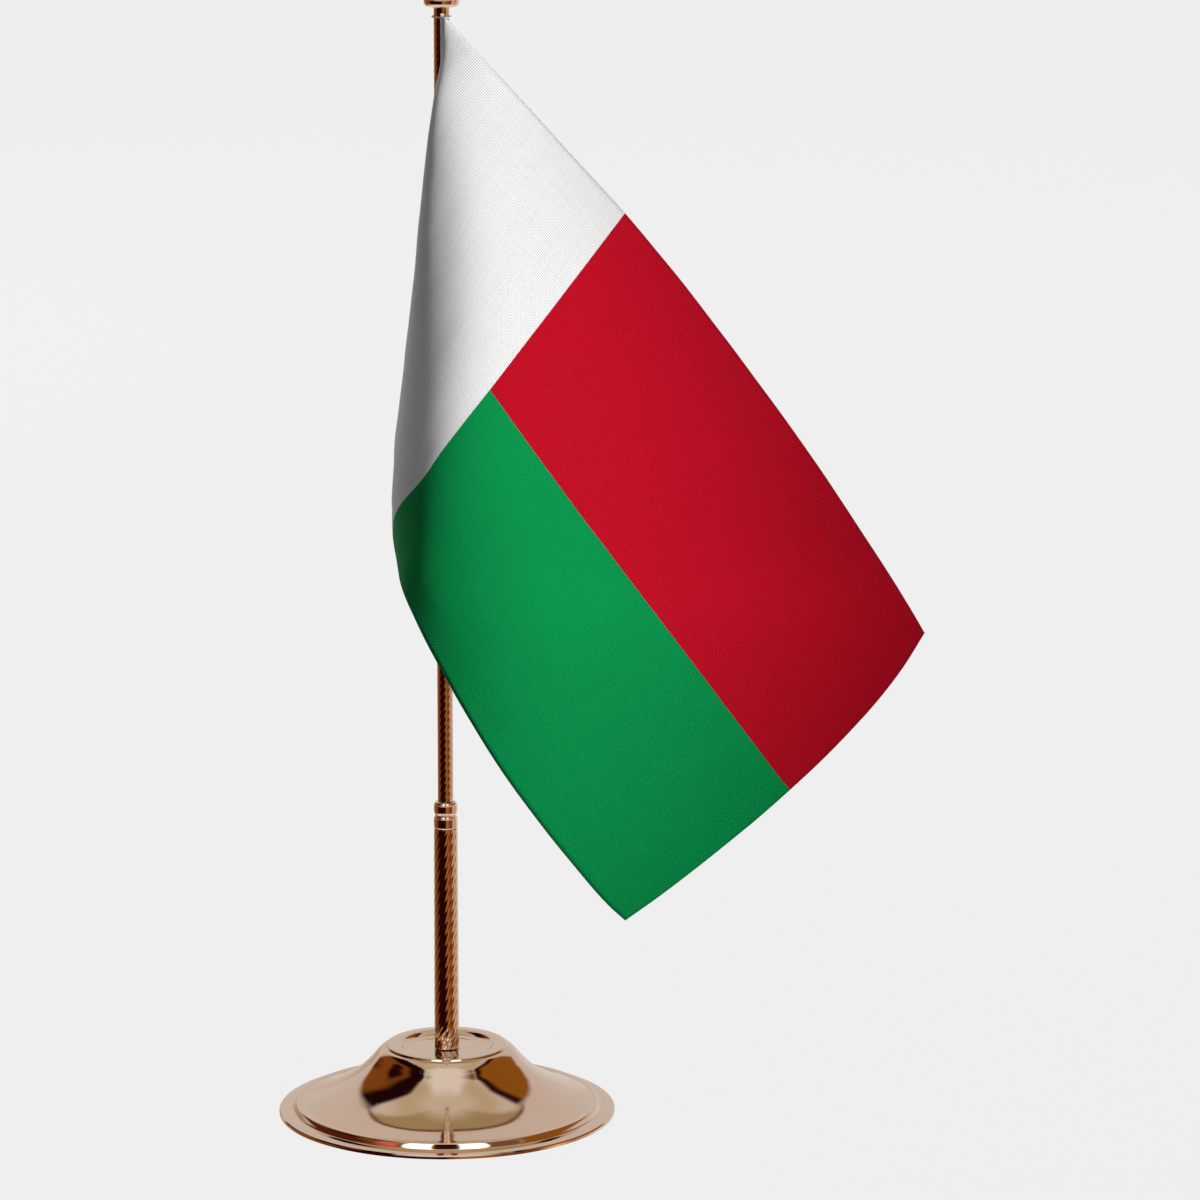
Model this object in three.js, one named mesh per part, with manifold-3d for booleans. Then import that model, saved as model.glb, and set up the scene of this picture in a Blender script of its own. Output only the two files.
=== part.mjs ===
// Desk flag stand: round bell base, two-section twisted pole, turned finial and a tricolour cloth flag.
// Units are millimetres, +Z is up, the pole axis is X = Y = 0 and the stand rests on Z = 0.
import * as THREE from 'three';
import { mergeVertices } from 'three/addons/utils/BufferGeometryUtils.js';
import Module from 'manifold-3d';

const wasm = await Module();
wasm.setup();

// ---- driving dimensions -------------------------------------------------
const SEG = 64;              // facets round the base pieces
const SEG_POLE = 32;         // facets round the slim pieces
const GAP = 0.3;             // clearance between touching pieces

const BASE_R = 49.0;         // outer radius of the base lip
const LIP_Z = 0.6;           // underside of the lip above the table
const DISH_Z = 19.5;         // floor of the dish in the middle of the base
const SCREW_R = 1.5;         // M3 clamp screw
const SCREW_HEAD_R = 2.8;

const TUBE_R_FOOT = 3.6;     // lower tube, over the flutes, at its foot
const TUBE_R_TOP = 3.42;     // lower tube, over the flutes, at its top
const TUBE_BORE_R = 3.0;
const TUBE_Z0 = DISH_Z + GAP;
const TUBE_Z1 = 85.5;

const COLLAR_R = 3.4;        // crimped collar on top of the lower tube
const COLLAR_GROOVE_R = 3.1;
const COLLAR_BORE_R = 2.1;
const COLLAR_Z0 = TUBE_Z1 + GAP;
const COLLAR_Z1 = 93.5;
const COLLAR_SPIGOT_Z = 78.0;

const BUSH_R = 1.8;          // friction bush in the collar
const BUSH_BORE_R = 1.28;

const ROD_R = 2.25;          // upper rod, over the flutes
const ROD_Z0 = COLLAR_Z1 + GAP;
const ROD_Z1 = 324.1;
const SPIGOT_R = 1.2;        // smooth end of the rod that stands in the bush
const STEM_R = 1.15;         // stem of the finial in the rod's top bore

const FINIAL_Z0 = ROD_Z1 + GAP;
const FINIAL_BEAD_R = 5.05;

const FLAG_LENGTH = 222;     // hoist to fly, laid flat
const FLAG_HEIGHT = 127;     // along the hoist, laid flat
const FLAG_TOP = 322.7;
const CLOTH_T = 1.0;         // thickness of the cloth solid

const TAPE_W = 1.8;          // hoist tape
const TAPE_T = 0.6;
const LOOP_R = 2.75;         // cord loops that tie the hoist to the rod
const LOOP_CORD_R = 0.2;

// ---- materials ------------------------------------------------------------
const plated = () => new THREE.MeshStandardMaterial({ color: 0xb9977a, roughness: 0.18, metalness: 1.0 });
const steel = () => new THREE.MeshStandardMaterial({ color: 0xa9a9ab, roughness: 0.35, metalness: 1.0 });
const iron = () => new THREE.MeshStandardMaterial({ color: 0x3c3c3f, roughness: 0.8, metalness: 0.6 });
const felt = () => new THREE.MeshStandardMaterial({ color: 0x262a28, roughness: 1.0, metalness: 0.0 });
const nylon = () => new THREE.MeshStandardMaterial({ color: 0xe6e2d8, roughness: 0.5, metalness: 0.0 });
const rubber = () => new THREE.MeshStandardMaterial({ color: 0x1c1c1c, roughness: 0.8, metalness: 0.0 });
const cloth = () => new THREE.MeshStandardMaterial({ color: 0xc81c2c, roughness: 0.85, metalness: 0.0 });
const whiteCloth = () => new THREE.MeshStandardMaterial({ color: 0xf2f2ee, roughness: 0.9, metalness: 0.0 });

// ---- helpers ----------------------------------------------------------------
// A closed body of revolution about Z from [radius, height] points given once round the section.
function turned(points, segments) {
  const g = new THREE.LatheGeometry([...points, points[0]].map(([r, z]) => new THREE.Vector2(r, z)), segments);
  g.rotateX(Math.PI / 2);
  g.deleteAttribute('normal');
  g.deleteAttribute('uv');
  return outward(mergeVertices(g, 1e-4));
}

// Drops triangles of no area and turns the faces outwards.
function outward(g) {
  const p = g.attributes.position;
  const idx = g.index.array;
  const keep = [];
  let volume = 0;
  const a = new THREE.Vector3(), b = new THREE.Vector3(), c = new THREE.Vector3();
  for (let i = 0; i < idx.length; i += 3) {
    const [i0, i1, i2] = [idx[i], idx[i + 1], idx[i + 2]];
    if (i0 === i1 || i1 === i2 || i2 === i0) continue;
    a.fromBufferAttribute(p, i0); b.fromBufferAttribute(p, i1); c.fromBufferAttribute(p, i2);
    volume += a.dot(b.cross(c)) / 6;
    keep.push(i0, i1, i2);
  }
  if (volume < 0) for (let i = 0; i < keep.length; i += 3) [keep[i + 1], keep[i + 2]] = [keep[i + 2], keep[i + 1]];
  g.setIndex(keep);
  return g;
}

function solid(g) {
  return new wasm.Manifold(new wasm.Mesh({
    numProp: 3,
    vertProperties: new Float32Array(g.attributes.position.array),
    triVerts: new Uint32Array(g.index.array),
  }));
}

function geometry(manifold) {
  const m = manifold.getMesh();
  const g = new THREE.BufferGeometry();
  g.setAttribute('position', new THREE.BufferAttribute(new Float32Array(m.vertProperties), 3));
  g.setIndex(Array.from(m.triVerts));
  return g;
}

const stand = new THREE.Group();
function add(name, g, material) {
  g.computeVertexNormals();
  const mesh = new THREE.Mesh(g, material);
  mesh.name = name;
  stand.add(mesh);
  return mesh;
}

// ---- base -----------------------------------------------------------------------
// Spun shell: flat lip, raised bead, flared skirt, plateau and a shallow dish round the pole.
const shellOuter = [
  [BASE_R, LIP_Z], [BASE_R, 1.35], [48.7, 1.65], [45.1, 2.15], [44.5, 2.5], [44.1, 3.1], [43.4, 3.5], [42.6, 3.45],
  [41.0, 4.3], [38.0, 5.4], [35.1, 6.7], [32.2, 8.2], [29.25, 9.95], [26.9, 11.65], [24.9, 13.4], [22.8, 15.5],
  [21.1, 17.5], [19.3, 19.3], [18.4, 19.95], [17.4, 20.5], [15.8, 20.95], [14.5, 21.05], [13.8, 20.85], [13.1, 20.25], [12.2, 19.75],
  [10.6, DISH_Z], [SCREW_R + GAP, DISH_Z],
];
const shellInner = [
  [SCREW_R + GAP, 18.6], [11.6, 18.7], [13.3, 19.0], [14.6, 19.9], [15.7, 19.95], [17.2, 19.4], [18.8, 18.4], [20.5, 16.7],
  [22.2, 14.8], [24.3, 12.6], [26.4, 10.8], [28.9, 8.95], [32.0, 7.2], [35.1, 5.7], [38.0, 4.35], [41.0, 3.2],
  [42.4, 2.45], [43.2, 2.5], [44.2, 1.5], [48.0, LIP_Z + 0.35], [48.3, LIP_Z],
];
add('base_shell', turned([...shellOuter, ...shellInner], SEG), plated());

// Cast ballast that fills the shell, with a counterbore for the screw head underneath.
add('ballast_disc', turned([
  [4.0, 1.3], [4.0, 5.0], [SCREW_R + 0.4, 5.0], [SCREW_R + 0.4, 18.3], [10.8, 18.3], [12.0, 17.2], [12.6, 9.6], [13.8, 7.6],
  [30.0, 7.4], [34.0, 5.5], [38.0, 3.8], [41.2, 2.6], [41.2, 1.3],
], SEG), iron());
// Felt disc glued under the ballast once the clamp screw is tight.
add('base_felt', turned([[0, 0], [0, 1.0], [46.0, 1.0], [46.0, 0]], SEG), felt());

// Clamp screw from below: slotted head, shank up into the insert in the foot of the tube.
const screwBody = solid(turned([
  [0, 1.6], [0, 29.0], [SCREW_R - 0.3, 29.0], [SCREW_R, 28.5], [SCREW_R, 3.7], [SCREW_HEAD_R, 3.7], [SCREW_HEAD_R, 2.2], [2.3, 1.6],
], SEG_POLE));
const slotGeometry = new THREE.BoxGeometry(8, 0.8, 1.8).translate(0, 0, 1.6);
slotGeometry.deleteAttribute('normal');
slotGeometry.deleteAttribute('uv');
add('clamp_screw', geometry(screwBody.subtract(solid(outward(mergeVertices(slotGeometry, 1e-4))))), steel());
add('screw_washer', turned([[SCREW_R + GAP, 4.0], [SCREW_R + GAP, 4.7], [3.6, 4.7], [3.6, 4.0]], SEG_POLE), steel());

// ---- lower section ------------------------------------------------------------------
add('foot_insert', turned([[SCREW_R + GAP, 20.4], [SCREW_R + GAP, 34.0], [TUBE_BORE_R - GAP, 34.0], [TUBE_BORE_R - GAP, 20.4]], SEG_POLE), steel());
add('lower_tube', turned([
  [TUBE_BORE_R, TUBE_Z0], [TUBE_R_FOOT, TUBE_Z0], [TUBE_R_TOP, TUBE_Z1], [TUBE_BORE_R, TUBE_Z1],
], SEG_POLE), plated());
add('pole_collar', turned([
  [COLLAR_BORE_R, COLLAR_SPIGOT_Z], [2.7, COLLAR_SPIGOT_Z], [2.7, COLLAR_Z0], [3.3, COLLAR_Z0], [COLLAR_R, COLLAR_Z0 + 0.3],
  [COLLAR_R, 88.9], [COLLAR_GROOVE_R, 89.4], [COLLAR_GROOVE_R, 89.8], [COLLAR_R, 90.3],
  [COLLAR_R, COLLAR_Z1 - 0.4], [3.2, COLLAR_Z1], [COLLAR_BORE_R, COLLAR_Z1],
], SEG_POLE), plated());
add('friction_bush', turned([
  [BUSH_BORE_R, 79.0], [BUSH_R, 79.0], [BUSH_R, COLLAR_Z1 - 0.1], [BUSH_BORE_R, COLLAR_Z1 - 0.1],
], SEG_POLE), nylon());

// ---- upper rod --------------------------------------------------------------------------
// The rod is bored from both ends: the spigot stands in the lower bore, the finial's stem in the upper one.
add('upper_rod', turned([
  [0, 106.3], [SPIGOT_R + GAP, 106.3], [SPIGOT_R + GAP, ROD_Z0], [ROD_R - 0.15, ROD_Z0], [ROD_R, ROD_Z0 + 0.2],
  [ROD_R, ROD_Z1 - 0.2], [ROD_R - 0.15, ROD_Z1], [STEM_R + GAP, ROD_Z1], [STEM_R + GAP, 310.0], [0, 310.0],
], SEG_POLE), plated());
add('rod_spigot', turned([[0, 80.0], [0, 106.0], [SPIGOT_R, 106.0], [SPIGOT_R, 80.4], [SPIGOT_R - 0.3, 80.0]], SEG_POLE), steel());
add('stop_ring', ring(3.15, 0.6, 193.4), rubber());

// A ring of round cord about the pole axis.
function ring(major, minor, z) {
  const section = [];
  for (let i = 0; i < 10; i++) {
    const a = (i / 10) * Math.PI * 2;
    section.push([major + minor * Math.cos(a), z + minor * Math.sin(a)]);
  }
  return turned(section, SEG_POLE);
}

// ---- finial --------------------------------------------------------------------------------
const z0 = FINIAL_Z0;
add('finial_bead', turned([
  [STEM_R + GAP, z0], [3.6, z0], [4.6, z0 + 0.35], [FINIAL_BEAD_R, z0 + 1.3], [FINIAL_BEAD_R, z0 + 2.2], [4.5, z0 + 3.2],
  [3.4, z0 + 3.7], [STEM_R + GAP, z0 + 3.7],
], SEG_POLE), plated());
const zb = z0 + 4.0;
add('finial_ball', turned([
  [0, zb + 8.0], [STEM_R + GAP, zb + 8.0], [STEM_R + GAP, zb], [2.7, zb], [2.2, zb + 0.9], [2.0, zb + 2.0], [2.9, zb + 2.7],
  [4.3, zb + 3.7], [5.5, zb + 5.6], [6.0, zb + 7.8], [5.7, zb + 10.0], [4.8, zb + 12.0], [3.3, zb + 13.8], [1.9, zb + 15.2],
  [1.2, zb + 17.0], [1.5, zb + 18.0], [1.4, zb + 19.0], [0.8, zb + 19.7], [0, zb + 19.9],
], SEG_POLE), plated());
add('finial_stem', turned([[0, 312.0], [0, zb + 7.6], [STEM_R, zb + 7.6], [STEM_R, 312.4], [STEM_R - 0.3, 312.0]], SEG_POLE), steel());

// ---- flag -----------------------------------------------------------------------------------
// Middle surface of the hung cloth: rows from hoist to fly, each from the top edge to the bottom edge.
// The cloth hangs from its upper hoist corner, comes forward beside the pole, turns over in a cone
// in front of it and falls away to the fly.
const CLOTH = [
  [[0.50,-5.10,322.70],[0.50,-5.10,310.01],[0.50,-5.10,297.32],[0.50,-5.10,284.64],[0.50,-5.10,271.95],[0.50,-5.10,259.26],[0.50,-5.10,246.57],[0.50,-5.10,233.88],[0.50,-5.10,221.20],[0.50,-5.10,208.51],[0.50,-5.10,195.82]],
  [[5.20,-6.78,317.98],[-0.40,-8.97,306.91],[-2.32,-9.28,294.62],[-2.83,-9.15,282.11],[-3.00,-8.79,269.52],[-3.15,-8.06,256.93],[-3.32,-7.31,244.27],[-3.29,-6.66,231.59],[-3.14,-6.19,218.92],[-3.04,-5.77,206.28],[-2.85,-5.51,193.63]],
  [[9.41,-8.73,313.55],[0.80,-12.52,303.44],[-2.87,-13.77,291.67],[-4.66,-13.73,279.44],[-5.50,-13.09,266.97],[-5.97,-11.86,254.38],[-7.00,-9.78,241.90],[-6.99,-8.31,229.26],[-6.65,-7.36,216.60],[-6.48,-6.48,204.00],[-6.08,-5.96,191.38]],
  [[13.70,-9.97,309.04],[5.13,-15.14,299.72],[-0.28,-17.70,288.50],[-3.89,-18.31,276.51],[-6.26,-17.79,264.22],[-7.33,-16.26,251.66],[-8.74,-13.79,239.13],[-10.15,-10.49,226.76],[-9.86,-8.76,214.19],[-9.82,-7.16,201.64],[-9.08,-6.50,189.05]],
  [[18.04,-10.62,304.42],[9.93,-16.91,295.73],[3.59,-20.94,285.22],[-1.27,-22.30,273.46],[-5.18,-22.38,261.39],[-7.49,-20.93,248.94],[-9.16,-18.33,236.39],[-10.65,-14.88,223.95],[-12.13,-11.07,211.61],[-13.44,-7.38,199.23],[-11.85,-7.13,186.64]],
  [[22.36,-11.12,299.73],[14.67,-18.20,291.53],[7.93,-23.39,281.67],[2.19,-25.81,270.35],[-2.79,-26.53,258.51],[-6.56,-25.55,246.27],[-9.10,-23.08,233.85],[-10.90,-19.62,221.42],[-12.33,-15.72,209.03],[-13.67,-11.79,196.62],[-14.49,-7.81,184.17]],
  [[26.67,-11.75,295.07],[19.25,-19.30,287.19],[12.36,-25.25,277.83],[5.98,-28.98,267.15],[0.28,-30.31,255.59],[-4.65,-29.91,243.61],[-8.40,-27.85,231.42],[-10.91,-24.51,219.12],[-12.48,-20.61,206.77],[-13.71,-16.57,194.39],[-14.39,-12.44,182.04]],
  [[30.93,-12.52,290.45],[23.70,-20.32,282.77],[16.75,-26.76,273.76],[10.02,-31.43,263.62],[3.64,-33.83,252.57],[-2.06,-33.94,240.88],[-6.99,-32.49,229.02],[-10.48,-29.44,216.94],[-12.58,-25.59,204.70],[-13.74,-21.50,192.41],[-14.25,-17.31,180.15]],
  [[35.12,-13.37,285.86],[28.04,-21.35,278.31],[21.06,-28.10,269.55],[14.13,-33.36,259.79],[7.27,-36.78,249.28],[0.88,-37.72,238.04],[-4.95,-36.90,226.53],[-9.49,-34.27,214.74],[-12.35,-30.59,202.70],[-13.67,-26.49,190.51],[-14.06,-22.25,178.33]],
  [[39.30,-14.27,281.37],[32.29,-22.40,273.83],[25.29,-29.37,265.24],[18.20,-34.99,255.75],[11.03,-39.20,245.67],[3.98,-41.33,235.03],[-2.49,-41.06,223.88],[-7.90,-38.90,212.43],[-11.63,-35.53,200.66],[-13.34,-31.48,188.61],[-13.73,-27.19,176.50]],
  [[43.48,-15.23,276.99],[36.48,-23.47,269.35],[29.43,-30.65,260.86],[22.19,-36.52,251.56],[14.80,-41.21,241.77],[7.34,-44.29,231.59],[0.23,-44.96,220.99],[-5.81,-43.26,209.93],[-10.40,-40.32,198.52],[-12.64,-36.41,186.67],[-13.17,-32.11,174.65]],
  [[47.58,-16.27,272.63],[40.60,-24.59,264.84],[33.49,-31.96,256.41],[26.08,-38.01,247.26],[18.48,-43.01,237.65],[10.77,-46.73,227.74],[3.26,-48.34,217.73],[-3.40,-47.38,207.22],[-8.70,-44.94,196.25],[-11.60,-41.26,184.67],[-12.50,-37.03,172.81]],
  [[51.69,-17.37,268.23],[44.68,-25.76,260.26],[37.47,-33.28,251.90],[29.89,-39.52,242.87],[22.06,-44.72,233.39],[14.10,-48.85,223.56],[6.47,-51.23,214.12],[-0.84,-51.36,204.31],[-6.60,-49.34,193.80],[-10.26,-46.03,182.61],[-11.94,-42.00,171.03]],
  [[56.19,-18.63,263.08],[48.87,-27.02,255.48],[41.43,-34.64,247.29],[33.63,-41.03,238.41],[25.54,-46.40,229.06],[17.26,-50.80,219.48],[9.67,-53.76,210.35],[2.16,-54.74,201.00],[-4.20,-53.54,191.04],[-8.71,-50.69,180.40],[-11.37,-46.96,169.35]],
  [[60.63,-19.98,257.85],[53.01,-28.33,250.61],[45.31,-36.01,242.62],[37.31,-42.56,233.89],[28.98,-48.07,224.68],[20.44,-52.65,215.29],[12.93,-56.04,206.40],[5.42,-57.63,197.36],[-1.45,-57.26,187.88],[-7.04,-55.21,177.90],[-10.50,-51.72,167.51]],
  [[65.02,-21.37,252.72],[57.05,-29.68,245.70],[49.13,-37.42,237.90],[40.94,-44.10,229.33],[32.41,-49.75,220.27],[23.68,-54.46,211.03],[16.23,-58.17,202.33],[8.74,-60.23,193.48],[1.52,-60.51,184.34],[-4.79,-59.04,174.79],[-9.05,-55.55,164.74]],
  [[69.25,-22.77,247.59],[61.01,-31.05,240.76],[52.88,-38.85,233.15],[44.53,-45.64,224.74],[35.84,-51.41,215.84],[26.99,-56.25,206.72],[19.55,-60.22,198.16],[12.02,-62.67,189.45],[4.55,-63.40,180.50],[-2.21,-62.16,171.14],[-7.15,-58.44,161.26]],
  [[73.31,-24.20,242.46],[64.88,-32.45,235.82],[56.59,-40.29,228.39],[48.10,-47.18,220.14],[39.29,-53.07,211.38],[30.37,-58.03,202.39],[22.87,-62.23,193.92],[15.26,-65.03,185.31],[7.58,-66.01,176.45],[0.52,-64.64,167.13],[-5.11,-60.66,157.37]],
  [[77.29,-25.63,237.39],[68.70,-33.87,230.89],[60.26,-41.75,223.62],[51.66,-48.73,215.52],[42.76,-54.74,206.90],[33.76,-59.82,198.02],[26.19,-64.22,189.63],[18.47,-67.29,181.09],[10.62,-68.28,172.23],[3.39,-66.52,162.91],[-2.90,-62.48,153.32]],
  [[81.24,-27.08,232.41],[72.46,-35.30,225.99],[63.90,-43.22,218.85],[55.21,-50.28,210.89],[46.24,-56.40,202.40],[37.18,-61.63,193.62],[29.53,-66.20,185.31],[21.70,-69.37,176.79],[13.75,-70.05,167.86],[6.33,-67.96,158.58],[-0.51,-64.05,149.20]],
  [[85.07,-28.53,227.43],[76.18,-36.74,221.12],[67.52,-44.69,214.10],[58.76,-51.83,206.26],[49.75,-58.08,197.90],[40.66,-63.46,189.23],[32.90,-68.10,180.97],[24.98,-71.08,172.38],[16.96,-71.25,163.37],[9.28,-69.09,154.17],[1.93,-65.47,145.00]],
  [[88.82,-29.98,222.49],[79.86,-38.19,216.28],[71.13,-46.17,209.36],[62.33,-53.40,201.64],[53.30,-59.78,193.41],[44.20,-65.27,184.85],[36.33,-69.81,176.57],[28.30,-72.24,167.84],[20.19,-71.99,158.81],[12.23,-70.01,149.72],[4.41,-66.78,140.72]],
  [[92.56,-31.44,217.63],[83.51,-39.65,211.47],[74.72,-47.66,204.64],[65.91,-54.99,197.03],[56.88,-61.49,188.92],[47.75,-67.02,180.42],[39.78,-71.17,172.05],[31.66,-72.81,163.19],[23.41,-72.43,154.20],[15.19,-70.77,145.23],[6.99,-67.96,136.40]],
  [[96.22,-32.92,212.80],[87.11,-41.12,206.70],[78.32,-49.18,199.94],[69.52,-56.60,192.45],[60.50,-63.19,184.43],[51.32,-68.59,175.93],[43.24,-71.98,167.38],[35.01,-72.96,158.49],[26.63,-72.66,149.58],[18.17,-71.39,140.73],[9.66,-69.01,132.05]],
  [[99.77,-34.42,207.99],[90.67,-42.62,201.95],[81.91,-50.73,195.29],[73.17,-58.23,187.90],[64.16,-64.80,179.93],[54.92,-69.77,171.31],[46.69,-72.23,162.63],[38.35,-72.86,153.77],[29.84,-72.77,144.95],[21.17,-71.89,136.21],[12.39,-69.94,127.66]],
  [[103.25,-35.94,203.22],[94.19,-44.17,197.25],[85.52,-52.32,190.67],[76.85,-59.84,183.36],[67.87,-66.19,175.37],[58.56,-70.38,166.57],[50.16,-72.10,157.84],[41.71,-72.65,149.05],[33.07,-72.78,140.33],[24.22,-72.27,131.71],[15.21,-70.75,123.27]],
  [[106.66,-37.50,198.51],[97.69,-45.77,192.60],[89.14,-53.95,186.07],[80.55,-61.37,178.79],[71.56,-67.18,170.68],[62.17,-70.41,161.76],[53.63,-71.75,153.04],[45.07,-72.38,144.34],[36.32,-72.73,135.73],[27.33,-72.52,127.23],[18.15,-71.41,118.89]],
  [[109.92,-39.14,193.83],[101.14,-47.44,187.99],[92.76,-55.58,181.49],[84.24,-62.68,174.14],[75.16,-67.56,165.79],[65.73,-70.05,156.87],[57.11,-71.29,148.24],[48.46,-72.09,139.65],[39.60,-72.62,131.15],[30.51,-72.66,122.77],[21.21,-71.94,114.54]],
  [[113.10,-40.84,189.23],[104.57,-49.17,183.41],[96.37,-57.13,176.85],[87.84,-63.54,169.30],[78.66,-67.35,160.79],[69.28,-69.45,151.98],[60.60,-70.78,143.44],[51.87,-71.76,134.97],[42.92,-72.45,126.59],[33.74,-72.70,118.33],[24.37,-72.31,110.23]],
  [[116.19,-42.62,184.72],[107.96,-50.89,178.84],[99.91,-58.42,172.08],[91.27,-63.72,164.22],[82.08,-66.74,155.72],[72.82,-68.73,147.06],[64.10,-70.22,138.65],[55.30,-71.40,130.30],[46.27,-72.24,122.05],[37.01,-72.66,113.92],[27.57,-72.55,105.91]],
  [[119.22,-44.43,180.30],[111.31,-52.48,174.23],[103.29,-59.17,167.08],[94.55,-63.27,159.01],[85.46,-65.90,150.61],[76.34,-67.96,142.13],[67.61,-69.63,133.85],[58.75,-70.98,125.64],[49.65,-71.97,117.52],[40.33,-72.55,109.52],[30.82,-72.68,101.61]],
  [[122.22,-46.22,175.97],[114.56,-53.68,169.48],[106.46,-59.09,161.89],[97.76,-62.42,153.75],[88.85,-64.95,145.48],[79.87,-67.14,137.18],[71.13,-68.99,129.05],[62.22,-70.51,120.98],[53.06,-71.66,113.01],[43.68,-72.39,105.14],[34.14,-72.70,97.35]],
  [[125.15,-47.77,171.63],[117.66,-54.18,164.52],[109.52,-58.38,156.63],[100.97,-61.35,148.50],[92.26,-63.95,140.36],[83.42,-66.28,132.24],[74.66,-68.30,124.25],[65.70,-69.97,116.34],[56.50,-71.28,108.52],[47.07,-72.18,100.79],[37.52,-72.64,93.12]],
  [[128.01,-48.72,167.20],[120.60,-53.81,159.47],[112.59,-57.29,151.40],[104.27,-60.19,143.30],[95.71,-62.90,135.25],[86.96,-65.38,127.28],[78.19,-67.55,119.44],[69.21,-69.38,111.71],[59.97,-70.84,104.06],[50.50,-71.90,96.46],[40.88,-72.54,88.89]],
  [[130.75,-48.64,162.66],[123.53,-52.81,154.47],[115.79,-56.01,146.26],[107.68,-58.97,138.16],[99.23,-61.82,130.17],[90.47,-64.43,122.29],[81.74,-66.73,114.64],[72.73,-68.70,107.10],[63.48,-70.32,99.61],[54.00,-71.52,92.18],[44.30,-72.31,84.73]],
  [[133.32,-47.58,158.17],[126.55,-51.44,149.59],[119.17,-54.66,141.22],[111.22,-57.75,133.10],[102.84,-60.73,125.14],[94.03,-63.46,117.34],[85.31,-65.87,109.85],[76.27,-67.94,102.49],[67.02,-69.67,95.19],[57.57,-71.00,87.97],[47.90,-71.87,80.76]],
  [[135.73,-45.97,153.73],[129.67,-49.88,144.81],[122.69,-53.30,136.27],[114.87,-56.54,128.12],[106.54,-59.66,120.17],[97.79,-62.47,112.51],[88.93,-64.97,105.08],[79.81,-67.11,97.90],[70.57,-68.92,90.78],[61.21,-70.32,83.80],[51.73,-71.17,77.07]]
];

function clothGeometry(rows, thickness) {
  const n = rows.length, m = rows[0].length;
  const P = rows.map((row) => row.map(([x, y, z]) => new THREE.Vector3(x, y, z)));
  const position = [];
  const at = (i, j, side) => (i * m + j) * 2 + side;
  for (let i = 0; i < n; i++) {
    for (let j = 0; j < m; j++) {
      const du = P[Math.min(i + 1, n - 1)][j].clone().sub(P[Math.max(i - 1, 0)][j]);
      const dv = P[i][Math.min(j + 1, m - 1)].clone().sub(P[i][Math.max(j - 1, 0)]);
      const normal = du.cross(dv).normalize().multiplyScalar(thickness / 2);
      const p = P[i][j];
      position.push(p.x + normal.x, p.y + normal.y, p.z + normal.z, p.x - normal.x, p.y - normal.y, p.z - normal.z);
    }
  }
  const index = [];
  const quad = (a, b, c, d) => index.push(a, b, c, a, c, d);
  for (let i = 0; i < n - 1; i++) {
    for (let j = 0; j < m - 1; j++) {
      quad(at(i, j, 0), at(i + 1, j, 0), at(i + 1, j + 1, 0), at(i, j + 1, 0));
      quad(at(i, j, 1), at(i, j + 1, 1), at(i + 1, j + 1, 1), at(i + 1, j, 1));
    }
  }
  for (let i = 0; i < n - 1; i++) {
    quad(at(i, 0, 0), at(i, 0, 1), at(i + 1, 0, 1), at(i + 1, 0, 0));
    quad(at(i, m - 1, 0), at(i + 1, m - 1, 0), at(i + 1, m - 1, 1), at(i, m - 1, 1));
  }
  for (let j = 0; j < m - 1; j++) {
    quad(at(0, j, 0), at(0, j + 1, 0), at(0, j + 1, 1), at(0, j, 1));
    quad(at(n - 1, j, 0), at(n - 1, j, 1), at(n - 1, j + 1, 1), at(n - 1, j + 1, 0));
  }
  const g = new THREE.BufferGeometry();
  g.setAttribute('position', new THREE.BufferAttribute(new Float32Array(position), 3));
  g.setIndex(index);
  return outward(g);
}
add('flag_cloth', clothGeometry(CLOTH, CLOTH_T), cloth());

// Tape sewn along the hoist, and the cord loops that hold it to the rod.
const tape = new THREE.BoxGeometry(TAPE_W, TAPE_T, FLAG_HEIGHT + 0.6);
tape.translate(0, -3.6 - TAPE_T / 2, FLAG_TOP - FLAG_HEIGHT / 2 - 0.2);
tape.deleteAttribute('normal');
tape.deleteAttribute('uv');
add('hoist_tape', outward(mergeVertices(tape, 1e-4)), whiteCloth());
add('hoist_loop_top', ring(LOOP_R, LOOP_CORD_R, FLAG_TOP - 1.2), whiteCloth());
add('hoist_loop_middle', ring(LOOP_R, LOOP_CORD_R, FLAG_TOP - FLAG_HEIGHT / 2), whiteCloth());
add('hoist_loop_bottom', ring(LOOP_R, LOOP_CORD_R, FLAG_TOP - FLAG_HEIGHT + 2.0), whiteCloth());

export default stand;
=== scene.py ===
import math
import bpy
import numpy as np
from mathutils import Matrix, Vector


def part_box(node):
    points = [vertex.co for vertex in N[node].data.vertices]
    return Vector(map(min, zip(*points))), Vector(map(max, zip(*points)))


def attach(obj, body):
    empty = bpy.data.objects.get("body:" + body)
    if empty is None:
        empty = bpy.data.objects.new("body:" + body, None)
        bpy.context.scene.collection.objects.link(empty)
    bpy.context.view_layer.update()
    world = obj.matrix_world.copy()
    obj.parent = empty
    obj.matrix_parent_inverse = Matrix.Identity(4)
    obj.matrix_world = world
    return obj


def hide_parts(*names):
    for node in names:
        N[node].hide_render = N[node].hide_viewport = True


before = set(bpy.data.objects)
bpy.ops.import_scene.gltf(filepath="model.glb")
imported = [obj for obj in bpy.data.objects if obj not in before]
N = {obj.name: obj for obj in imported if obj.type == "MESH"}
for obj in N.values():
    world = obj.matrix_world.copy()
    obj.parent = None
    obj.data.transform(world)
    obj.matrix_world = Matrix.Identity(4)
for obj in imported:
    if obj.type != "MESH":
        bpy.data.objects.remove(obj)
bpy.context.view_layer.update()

MM = 0.001

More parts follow.
